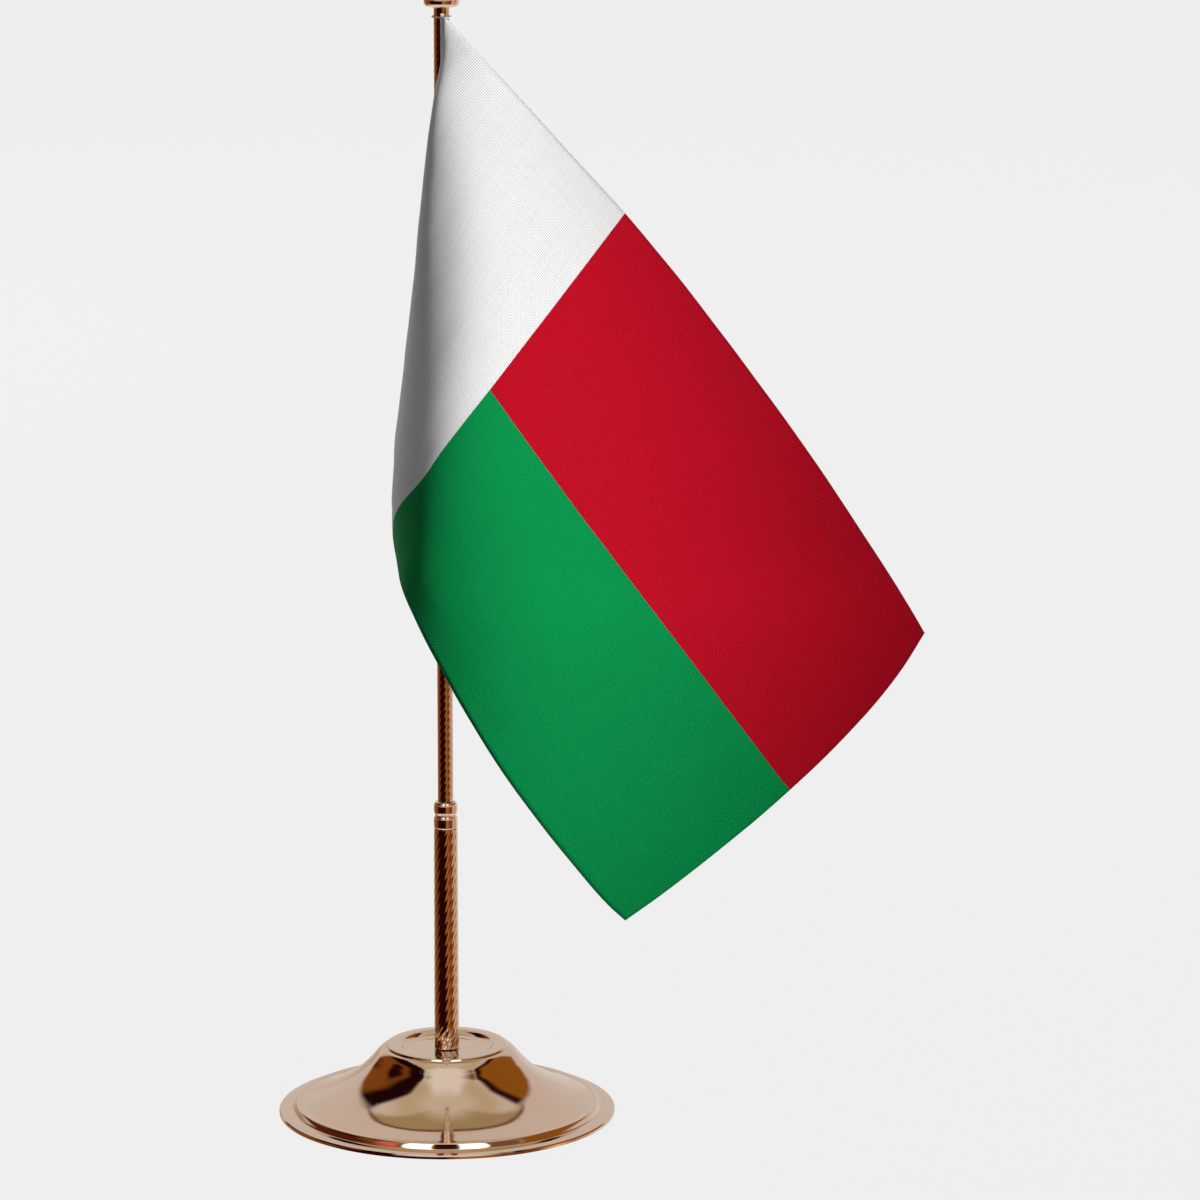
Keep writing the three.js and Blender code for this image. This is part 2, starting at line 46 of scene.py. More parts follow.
# ---- camera ---------------------------------------------------------------------
scene = bpy.context.scene
cam_data = bpy.data.cameras.new("camera")
cam_data.sensor_width = 36.0
cam_data.sensor_fit = "HORIZONTAL"
cam_data.lens = 194.28
cam_data.clip_end = 20.0
cam = bpy.data.objects.new("camera", cam_data)
cam.location = (0.04469, -1.8186, 0.55012)
cam.rotation_euler = (math.radians(77.686), 0.0, 0.0)
scene.collection.objects.link(cam)
scene.camera = cam
scene.view_settings.view_transform = "Standard"
scene.view_settings.look = "None"
scene.render.film_transparent = False


# ---- mesh helpers -----------------------------------------------------------------
def new_object(name, verts, faces, smooth=True, material=None):
    me = bpy.data.meshes.new(name)
    me.from_pydata([tuple(v) for v in verts], [], faces)
    me.validate()
    me.update()
    me.polygons.foreach_set("use_smooth", [smooth] * len(me.polygons))
    ob = bpy.data.objects.new(name, me)
    scene.collection.objects.link(ob)
    if material is not None:
        me.materials.append(material)
    return ob


def sharp_by_angle(ob, degrees):
    """Splits the shading where two faces meet at more than this angle."""
    me = ob.data
    limit = math.cos(math.radians(degrees))
    normals = [p.normal.copy() for p in me.polygons]
    owners = {}
    for p in me.polygons:
        for k in p.edge_keys:
            owners.setdefault(k, []).append(p.index)
    flags = [False] * len(me.edges)
    for e in me.edges:
        o = owners.get(tuple(sorted(e.vertices)), [])
        if len(o) == 2 and normals[o[0]].dot(normals[o[1]]) < limit:
            flags[e.index] = True
    att = me.attributes.get("sharp_edge") or me.attributes.new("sharp_edge", "BOOLEAN", "EDGE")
    att.data.foreach_set("value", flags)


def smooth_profile(points, corners=(), step=0.25):
    """Catmull-Rom through [r, z] points in mm, open, keeping the listed points as sharp corners."""
    p = np.array(points, float)
    n = len(p)
    out = [p[0]]
    for i in range(n - 1):
        a, b = p[i], p[i + 1]
        before = p[i - 1] if i > 0 and i not in corners else 2 * a - b
        after = p[i + 2] if i + 2 < n and (i + 1) not in corners else 2 * b - a
        length = np.linalg.norm(b - a)
        k = max(1, int(round(length / step)))
        # centripetal tangents
        d0 = max(np.linalg.norm(a - before), 1e-6) ** 0.5
        d1 = max(length, 1e-6) ** 0.5
        d2 = max(np.linalg.norm(after - b), 1e-6) ** 0.5
        m1 = (a - before) / d0 - (b - before) / (d0 + d1) + (b - a) / d1
        m2 = (b - a) / d1 - (after - a) / (d1 + d2) + (after - b) / d2
        m1, m2 = m1 * d1, m2 * d1
        for j in range(1, k + 1):
            t = j / k
            h = (2 * t**3 - 3 * t**2 + 1) * a + (t**3 - 2 * t**2 + t) * m1 + (-2 * t**3 + 3 * t**2) * b + (t**3 - t**2) * m2
            out.append(h)
    return np.array(out)


def lathe(name, section, seg, material, sharp=40):
    """A turned body from a closed section of [r, z] in mm. Points at r = 0 close on the axis."""
    sec = [tuple(q) for q in section]
    verts, rings = [], []
    for r, z in sec:
        if r < 1e-6:
            rings.append([len(verts)])
            verts.append((0, 0, z * MM))
        else:
            rings.append(list(range(len(verts), len(verts) + seg)))
            for k in range(seg):
                a = 2 * math.pi * k / seg
                verts.append((r * math.cos(a) * MM, r * math.sin(a) * MM, z * MM))
    faces = []
    m = len(rings)
    closed = sec[0][0] > 1e-6 or sec[-1][0] > 1e-6
    for i in range(m if closed else m - 1):
        A, B = rings[i], rings[(i + 1) % m]
        if len(A) == 1 and len(B) == 1:
            continue
        for k in range(seg):
            k2 = (k + 1) % seg
            if len(A) == 1:
                faces.append((A[0], B[k2], B[k]))
            elif len(B) == 1:
                faces.append((A[k], A[k2], B[0]))
            else:
                faces.append((A[k], A[k2], B[k2], B[k]))
    ob = new_object(name, verts, faces, True, material)
    turn_out(ob)
    sharp_by_angle(ob, sharp)
    return ob


def turn_out(ob):
    """Faces point outwards: the signed volume is positive."""
    me = ob.data
    v = 0.0
    for p in me.polygons:
        c = [me.vertices[i].co for i in p.vertices]
        for i in range(1, len(c) - 1):
            v += c[0].dot(c[i].cross(c[i + 1]))
    if v < 0:
        me.flip_normals()


def paint(ob, name, values):
    """A number for every vertex, which materials read as an attribute."""
    att = ob.data.attributes.new(name, "FLOAT", "POINT")
    att.data.foreach_set("value", list(map(float, values)))


# ---- material helpers ----------------------------------------------------------------
class Nodes:
    def __init__(self, name):
        self.mat = bpy.data.materials.new(name)
        self.mat.use_nodes = True
        self.tree = self.mat.node_tree
        self.tree.nodes.clear()
        self.out = self.add("ShaderNodeOutputMaterial")
        self.shader = self.add("ShaderNodeBsdfPrincipled")
        self.link(self.shader.outputs["BSDF"], self.out.inputs["Surface"])

    def add(self, kind, **props):
        n = self.tree.nodes.new(kind)
        for k, v in props.items():
            setattr(n, k, v)
        return n

    def link(self, a, b):
        self.tree.links.new(a, b)

    def math(self, op, a, b=None, c=None, clamp=False):
        n = self.add("ShaderNodeMath", operation=op, use_clamp=clamp)
        for i, v in enumerate((a, b, c)):
            if v is None:
                continue
            if isinstance(v, (int, float)):
                n.inputs[i].default_value = v
            else:
                self.link(v, n.inputs[i])
        return n.outputs[0]

    def ramp(self, value, stops, interpolation="LINEAR"):
        n = self.add("ShaderNodeValToRGB")
        n.color_ramp.interpolation = interpolation
        el = n.color_ramp.elements
        while len(el) > 1:
            el.remove(el[-1])
        el[0].position = stops[0][0]
        el[0].color = stops[0][1]
        for pos, col in stops[1:]:
            e = el.new(pos)
            e.color = col
        self.link(value, n.inputs[0])
        return n.outputs[0]

    def mix(self, fac, a, b, blend="MIX"):
        n = self.add("ShaderNodeMix", data_type="RGBA", blend_type=blend)
        n.clamp_factor = True
        for sock, v in ((n.inputs[0], fac), (n.inputs[6], a), (n.inputs[7], b)):
            if isinstance(v, (int, float)):
                sock.default_value = v
            elif isinstance(v, (tuple, list)):
                sock.default_value = v
            else:
                self.link(v, sock)
        return n.outputs[2]

    def noise(self, vector, scale, detail=3.0, roughness=0.5):
        n = self.add("ShaderNodeTexNoise")
        n.inputs["Scale"].default_value = scale
        n.inputs["Detail"].default_value = detail
        n.inputs["Roughness"].default_value = roughness
        if vector is not None:
            self.link(vector, n.inputs["Vector"])
        return n.outputs["Fac"]

    def bump(self, height, strength, distance, normal=None):
        n = self.add("ShaderNodeBump")
        n.inputs["Strength"].default_value = strength
        n.inputs["Distance"].default_value = distance
        self.link(height, n.inputs["Height"])
        if normal is not None:
            self.link(normal, n.inputs["Normal"])
        return n.outputs["Normal"]

    def obj(self):
        return self.add("ShaderNodeTexCoord").outputs["Object"]

    def scaled(self, vector, s):
        n = self.add("ShaderNodeMapping")
        n.inputs["Scale"].default_value = s
        self.link(vector, n.inputs["Vector"])
        return n.outputs["Vector"]

    def xyz(self, vector):
        n = self.add("ShaderNodeSeparateXYZ")
        self.link(vector, n.inputs[0])
        return n.outputs

    def set(self, **kw):
        for k, v in kw.items():
            self.shader.inputs[k.replace("_", " ")].default_value = v


METAL = (0.760, 0.585, 0.455, 1)
# painted shade: the colour the strand valleys of the fluted plating are darkened to
METAL_VALLEY_SHADE = (0.42, 0.22, 0.10, 1)


def plated(name, kind):
    """Bright rose-gold plating over polished steel; the fluted kind has painted shade in its strand valleys. kind:
    spun, fluted or turned.
    """
    m = Nodes(name)
    m.set(Metallic=1.0)
    p = m.obj()
    x, y, z = m.xyz(p)
    radius = m.math("SQRT", m.math("ADD", m.math("MULTIPLY", x, x), m.math("MULTIPLY", y, y)))
    cloud = m.noise(p, 55, 4, 0.6)
    fine = m.noise(p, 900, 2, 0.6)
    # faint cloudiness of the plating
    col = m.mix(m.math("MULTIPLY", cloud, 0.35), METAL, (0.70, 0.50, 0.37, 1))
    if kind == "fluted":
        # painted shade: the plating darkens towards deep brown in the valleys between the strands, where shade falls
        att = m.add("ShaderNodeAttribute", attribute_name="valley")
        valley_shade = m.math("POWER", att.outputs["Fac"], 1.6)
        col = m.mix(m.math("MULTIPLY", valley_shade, 0.75), col, METAL_VALLEY_SHADE)
    m.link(col, m.shader.inputs["Base Color"])
    if kind == "spun":
        # concentric marks of the spinning and polishing, and sparse fine specks
        rings = m.math("SINE", m.math("MULTIPLY", radius, 2 * math.pi / 0.00042))
        wob = m.noise(m.scaled(p, (1, 1, 4)), 30, 2)
        h = m.math("MULTIPLY", rings, wob)
        nrm = m.bump(h, 0.035, 0.00002)
        h2 = m.noise(p, 240, 3, 0.55)
        nrm = m.bump(h2, 0.10, 0.00006, nrm)
        r = m.math("MULTIPLY_ADD", cloud, 0.05, 0.035)
        r = m.math("ADD", r, m.math("MULTIPLY", m.math("GREATER_THAN", fine, 0.70), 0.10))
    elif kind == "fluted":
        h = m.noise(m.scaled(p, (1, 1, 0.35)), 1500, 2)
        nrm = m.bump(h, 0.25, 0.00004)
        r = m.math("MULTIPLY_ADD", cloud, 0.06, 0.05)
    else:
        rings = m.math("SINE", m.math("MULTIPLY", z, 2 * math.pi / 0.00035))
        nrm = m.bump(rings, 0.05, 0.00002)
        r = m.math("MULTIPLY_ADD", cloud, 0.05, 0.05)
    m.link(r, m.shader.inputs["Roughness"])
    m.link(nrm, m.shader.inputs["Normal"])
    return m.mat


def rough_metal(name, colour, rough, scale, bump):
    m = Nodes(name)
    m.set(Metallic=1.0)
    p = m.obj()
    f = m.noise(p, scale, 4, 0.6)
    m.link(m.mix(f, tuple(c * 0.8 for c in colour[:3]) + (1,), colour), m.shader.inputs["Base Color"])
    m.link(m.math("MULTIPLY_ADD", f, 0.2, rough), m.shader.inputs["Roughness"])
    m.link(m.bump(f, 0.5, bump), m.shader.inputs["Normal"])
    return m.mat


def plain(name, colour, rough, scale, bump, sheen=0.0):
    m = Nodes(name)
    m.set(Metallic=0.0)
    if sheen:
        m.shader.inputs["Sheen Weight"].default_value = sheen
        m.shader.inputs["Sheen Roughness"].default_value = 0.5
    p = m.obj()
    f = m.noise(p, scale, 5, 0.65)
    m.link(m.mix(f, tuple(c * 0.75 for c in colour[:3]) + (1,), tuple(min(1, c * 1.1) for c in colour[:3]) + (1,)),
           m.shader.inputs["Base Color"])
    m.link(m.math("MULTIPLY_ADD", f, 0.12, rough), m.shader.inputs["Roughness"])
    m.link(m.bump(f, 0.6, bump), m.shader.inputs["Normal"])
    return m.mat


def woven(name, pitch, colour=None):
    """Plain weave on UVs that count metres along the cloth: warp and weft pass over each other in turn, and the
    light and shade of the threads is painted into the colour.
    Without a colour, the cloth is printed in three fields from its UVs: hoist third white, then red over green."""
    m = Nodes(name)
    uv = m.add("ShaderNodeUVMap", uv_map="UVMap").outputs["UV"]
    u, v, _ = m.xyz(uv)
    k = math.pi / pitch
    a = m.math("SINE", m.math("MULTIPLY", u, k))
    b = m.math("SINE", m.math("MULTIPLY", v, k))
    over = m.math("MULTIPLY", a, b)                       # +1 warp on top, -1 weft on top
    crown_u = m.math("ABSOLUTE", a)
    crown_v = m.math("ABSOLUTE", b)
    warp_up = m.math("MULTIPLY_ADD", over, 0.5, 0.5)
    height = m.math("ADD", m.math("MULTIPLY", warp_up, crown_u), m.math("MULTIPLY", m.math("SUBTRACT", 1.0, warp_up), crown_v))
    # painted shade mask: the holes between the threads
    hole = m.math("MULTIPLY", m.math("SUBTRACT", 1.0, crown_u), m.math("SUBTRACT", 1.0, crown_v))
    slub = m.noise(m.scaled(uv, (60, 1400, 1)), 1.0, 2)
    slub2 = m.noise(m.scaled(uv, (1400, 60, 1)), 1.0, 2)
    threads = m.math("ADD", m.math("MULTIPLY", slub, 0.5), m.math("MULTIPLY", slub2, 0.5))
    cloud = m.noise(uv, 25, 3, 0.6)
    if colour is None:
        ink_u = m.math("GREATER_THAN", u, CLOTH_L / 3)
        ink_v = m.math("GREATER_THAN", v, CLOTH_H / 2)
        lower = m.mix(ink_v, RED, GREEN)
        col = m.mix(ink_u, WHITE, lower)
    else:
        col = m.mix(0.0, colour, colour)
    # painted light and shade: the thread crowns are lighter and the holes between the threads darker; the slubs and
    # cloud added below are the yarn's own tone
    weave_shade_and_tone = m.math("MULTIPLY_ADD", height, 0.26, 0.84)
    weave_shade_and_tone = m.math("SUBTRACT", weave_shade_and_tone, m.math("MULTIPLY", hole, 0.75))
    weave_shade_and_tone = m.math("ADD", weave_shade_and_tone, m.math("MULTIPLY_ADD", threads, 0.24, -0.12))
    weave_shade_and_tone = m.math("ADD", weave_shade_and_tone, m.math("MULTIPLY_ADD", cloud, 0.06, -0.03))
    comb = m.add("ShaderNodeCombineColor")
    for i in range(3):
        m.link(weave_shade_and_tone, comb.inputs[i])
    m.link(m.mix(1.0, col, comb.outputs[0], "MULTIPLY"), m.shader.inputs["Base Color"])
    m.set(Metallic=0.0)
    m.shader.inputs["Sheen Weight"].default_value = 0.01
    m.shader.inputs["Sheen Roughness"].default_value = 0.4
    m.shader.inputs["Specular IOR Level"].default_value = 0.12
    m.link(m.math("MULTIPLY_ADD", threads, 0.15, 0.68), m.shader.inputs["Roughness"])
    m.link(m.bump(m.math("ADD", height, m.math("MULTIPLY", threads, 0.4)), 0.35, 0.00006), m.shader.inputs["Normal"])
    return m.mat


CLOTH_L, CLOTH_H = 0.222, 0.127
WHITE = (0.87, 0.87, 0.87, 1)
RED = (0.520, 0.005, 0.019, 1)
GREEN = (0.003, 0.288, 0.074, 1)

metal_spun = plated("plating_spun", "spun")
metal_fluted = plated("plating_fluted", "fluted")
metal_turned = plated("plating_turned", "turned")
steel = rough_metal("zinc_steel", (0.62, 0.62, 0.63, 1), 0.25, 900, 0.00003)
iron = rough_metal("cast_ballast", (0.16, 0.16, 0.17, 1), 0.65, 500, 0.0002)
felt = plain("felt", (0.05, 0.06, 0.055, 1), 0.9, 1400, 0.0003, 0.3)
nylon = plain("nylon", (0.80, 0.78, 0.72, 1), 0.4, 500, 0.00003)
rubber = plain("rubber", (0.025, 0.025, 0.025, 1), 0.6, 700, 0.00005)
printed = woven("printed_cloth", 0.00058)
tape_mat = woven("white_tape", 0.0004, (0.80, 0.80, 0.79, 1))
cord_mat = plain("white_cord", (0.80, 0.80, 0.78, 1), 0.8, 3000, 0.00004, 0.1)

for node, mat in {
    "ballast_disc": iron, "base_felt": felt, "clamp_screw": steel, "screw_washer": steel, "foot_insert": steel,
    "rod_spigot": steel, "finial_stem": steel, "friction_bush": nylon,
}.items():
    me = N[node].data
    me.materials.clear()
    me.materials.append(mat)

# ---- base ---------------------------------------------------------------------------------
outer = smooth_profile([
    (49.0, 0.6), (49.0, 1.3), (48.7, 1.65), (47.0, 1.88), (45.5, 2.03), (44.95, 2.16), (44.72, 2.55), (44.4, 3.18), (44.02, 3.72), (43.45, 3.95), (42.8, 3.84),
    (42.3, 3.86), (41.0, 4.3), (38.0, 5.4), (35.1, 6.7), (32.2, 8.2), (29.25, 9.95), (26.9, 11.65), (24.9, 13.4), (22.8, 15.5),
    (21.1, 17.5), (19.8, 18.95), (18.5, 19.95), (17.75, 20.32), (17.42, 20.78), (16.9, 20.95), (15.8, 21.0), (14.5, 21.03), (13.8, 20.85), (13.1, 20.3),
    (12.2, 19.78), (10.9, 19.52), (9.5, 19.5), (1.8, 19.5),
], corners=(0, 1, 2, 10, 32), step=0.22)
inner = [
    (1.8, 18.6), (11.6, 18.7), (13.3, 19.0), (14.6, 19.9), (15.7, 19.95), (17.2, 19.4), (18.8, 18.4), (20.5, 16.7),
    (22.2, 14.8), (24.3, 12.6), (26.4, 10.8), (28.9, 8.95), (32.0, 7.2), (35.1, 5.7), (38.0, 4.35), (41.0, 3.2),
    (42.4, 2.45), (43.2, 2.5), (44.2, 1.5), (48.0, 0.95), (48.3, 0.6),
]
base = lathe("spun_base", list(outer) + inner, 256, metal_spun, 35)
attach(base, "base")
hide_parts("base_shell")


# ---- twisted pole -----------------------------------------------------------------------------
def fluted(name, z0, z1, r_foot, r_top, bore, strands, lead, depth, per_strand, row, material, plain_ends=0.6):
    """A tube twisted like a rope: convex strands with narrow valleys that climb to the right."""
    cols = strands * per_strand
    zs = np.linspace(z0, z1, int(round((z1 - z0) / row)) + 1)
    verts, val, faces = [], [], []
    for z in zs:
        R = r_foot + (r_top - r_foot) * (z - z0) / (z1 - z0)
        fade = min(1.0, (z - z0) / plain_ends, (z1 - z) / plain_ends)
        tw = 2 * math.pi * z / lead
        for c in range(cols):
            th = 2 * math.pi * c / cols
            w = 1 - abs(math.cos(strands * th / 2))
            r = R - depth * w * fade
            a = th + tw
            verts.append((r * math.cos(a) * MM, r * math.sin(a) * MM, z * MM))
            val.append(w * fade)
    nz = len(zs)
    for i in range(nz - 1):
        for c in range(cols):
            c2 = (c + 1) % cols
            faces.append((i * cols + c, i * cols + c2, (i + 1) * cols + c2, (i + 1) * cols + c))
    # ends and bore
    base_i = len(verts)
    for z in (z0, z1):
        tw = 2 * math.pi * z / lead
        for c in range(cols):
            a = 2 * math.pi * c / cols + tw
            verts.append((bore * math.cos(a) * MM, bore * math.sin(a) * MM, z * MM))
            val.append(0.0)
    for c in range(cols):
        c2 = (c + 1) % cols
        faces.append((c2, c, base_i + c, base_i + c2))
        faces.append(((nz - 1) * cols + c, (nz - 1) * cols + c2, base_i + cols + c2, base_i + cols + c))
        if bore > 0:
            faces.append((base_i + c2, base_i + c, base_i + cols + c, base_i + cols + c2))
    ob = new_object(name, verts, faces, True, material)
    # groove depth, which the fluted plating reads to paint shade into the valleys
    paint(ob, "valley", val)
    turn_out(ob)
    sharp_by_angle(ob, 60)
    return ob


tube = fluted("fluted_tube", 19.8, 85.5, 3.6, 3.42, 3.0, 12, 39.6, 0.08, 10, 0.8, metal_fluted)
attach(tube, "base")
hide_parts("lower_tube")

rod = fluted("fluted_rod", 93.8, 324.1, 2.25, 2.25, 1.5, 10, 22.0, 0.065, 8, 0.8, metal_fluted)
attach(rod, "rod")
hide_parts("upper_rod")

collar_out = smooth_profile([
    (3.30, 85.8), (3.40, 86.1), (3.42, 87.2), (3.40, 88.5), (3.28, 88.95), (3.08, 89.4), (3.08, 89.8), (3.26, 90.15),
    (3.40, 90.7), (3.42, 91.5), (3.38, 92.3), (3.22, 93.0), (2.95, 93.38), (2.6, 93.5), (2.1, 93.5),
], corners=(0, 14), step=0.12)
collar = lathe("crimped_collar", list(collar_out) + [(2.1, 78.0), (2.7, 78.0), (2.7, 85.8)], 96, metal_turned, 50)
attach(collar, "base")
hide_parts("pole_collar")

# ---- finial ----------------------------------------------------------------------------------------
bead_out = smooth_profile([
    (1.45, 324.4), (3.6, 324.4), (4.5, 324.65), (4.95, 325.3), (5.05, 326.1), (4.9, 327.0), (4.35, 327.75), (3.4, 328.08), (1.45, 328.1),
], corners=(0, 1, 8), step=0.2)
bead = lathe("finial_bottom_bead", list(bead_out), 96, metal_turned, 50)
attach(bead, "finial")
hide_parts("finial_bead")
zb = 328.4
ball_out = smooth_profile([
    (1.45, zb), (2.7, zb), (2.25, zb + 0.9), (2.05, zb + 1.9), (2.9, zb + 2.7), (4.3, zb + 3.7), (5.5, zb + 5.6), (6.0, zb + 7.8),
    (5.7, zb + 10.0), (4.8, zb + 12.0), (3.3, zb + 13.8), (1.9, zb + 15.2), (1.25, zb + 17.0), (1.5, zb + 18.0), (1.4, zb + 19.0),
    (0.8, zb + 19.65), (0.0, zb + 19.9),
], corners=(0, 1, 3), step=0.25)
ball = lathe("finial_onion", list(ball_out) + [(0.0, zb + 8.0), (1.45, zb + 8.0)], 96, metal_turned, 50)
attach(ball, "finial")
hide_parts("finial_ball")


# ---- rings and loops -----------------------------------------------------------------------------------
def ring(name, major, minor, z, material, plies=0, twists=24, seg=96, sides=12):
    """A ring about the pole axis; with plies it is a laid cord."""
    verts, faces = [], []
    for i in range(seg):
        a = 2 * math.pi * i / seg
        for k in range(sides):
            b = 2 * math.pi * k / sides
            rr = minor
            if plies:
                rr = minor * (0.82 + 0.18 * abs(math.cos(plies * (b + twists * a / plies) / 2)))
            r = major + rr * math.cos(b)
            verts.append((r * math.cos(a) * MM, r * math.sin(a) * MM, (z + rr * math.sin(b)) * MM))
    for i in range(seg):
        i2 = (i + 1) % seg
        for k in range(sides):
            k2 = (k + 1) % sides
            faces.append((i * sides + k, i2 * sides + k, i2 * sides + k2, i * sides + k2))
    ob = new_object(name, verts, faces, True, material)
    turn_out(ob)
    return ob


stop = ring("rubber_stop", 3.15, 0.6, 193.4, rubber, sides=20)
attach(stop, "rod")
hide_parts("stop_ring")
for nm, node, z in (("cord_top", "hoist_loop_top", 321.5), ("cord_middle", "hoist_loop_middle", 259.2), ("cord_bottom", "hoist_loop_bottom", 197.7)):
    c = ring(nm, 2.68, 0.18, z, cord_mat, plies=3, twists=30, seg=240, sides=18)
    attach(c, "flag")
    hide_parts(node)

# ---- hoist tape -------------------------------------------------------------------------------------------
lo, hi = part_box("hoist_tape")
lo, hi = Vector(lo), Vector(hi)
rows = 160
section = [(-1, 0.25), (-0.94, 0.75), (-0.75, 1), (0, 0.92), (0.75, 1), (0.94, 0.75), (1, 0.25), (0.94, 0.1), (0.75, 0), (0, 0.06), (-0.75, 0), (-0.94, 0.1)]
cx, wx = (lo.x + hi.x) / 2 + 0.0003, (hi.x - lo.x) / 2 - 0.0003
verts, faces, uvs = [], [], []
for i in range(rows + 1):
    z = lo.z + (hi.z - lo.z) * i / rows
    pinch = 1.0 - 0.10 * (math.cos(2 * math.pi * (z / 0.0022)) > 0.86)   # stitches pull the tape in
    for sx, sy in section:
        verts.append((cx + sx * wx * 0.99, lo.y + (hi.y - lo.y) * (0.5 + (sy - 0.5) * pinch), z))
        uvs.append((sx * wx + 0.01, z))
s = len(section)
for i in range(rows):
    for k in range(s):
        k2 = (k + 1) % s
        faces.append((i * s + k, (i + 1) * s + k, (i + 1) * s + k2, i * s + k2))
faces.append(tuple(range(s)))
faces.append(tuple(reversed(range(rows * s, rows * s + s))))
tape = new_object("hoist_tape_woven", verts, faces, True, tape_mat)
turn_out(tape)
sharp_by_angle(tape, 50)
layer = tape.data.uv_layers.new(name="UVMap")
for loop in tape.data.loops:
    layer.data[loop.index].uv = uvs[loop.vertex_index]
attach(tape, "flag")
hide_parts("hoist_tape")

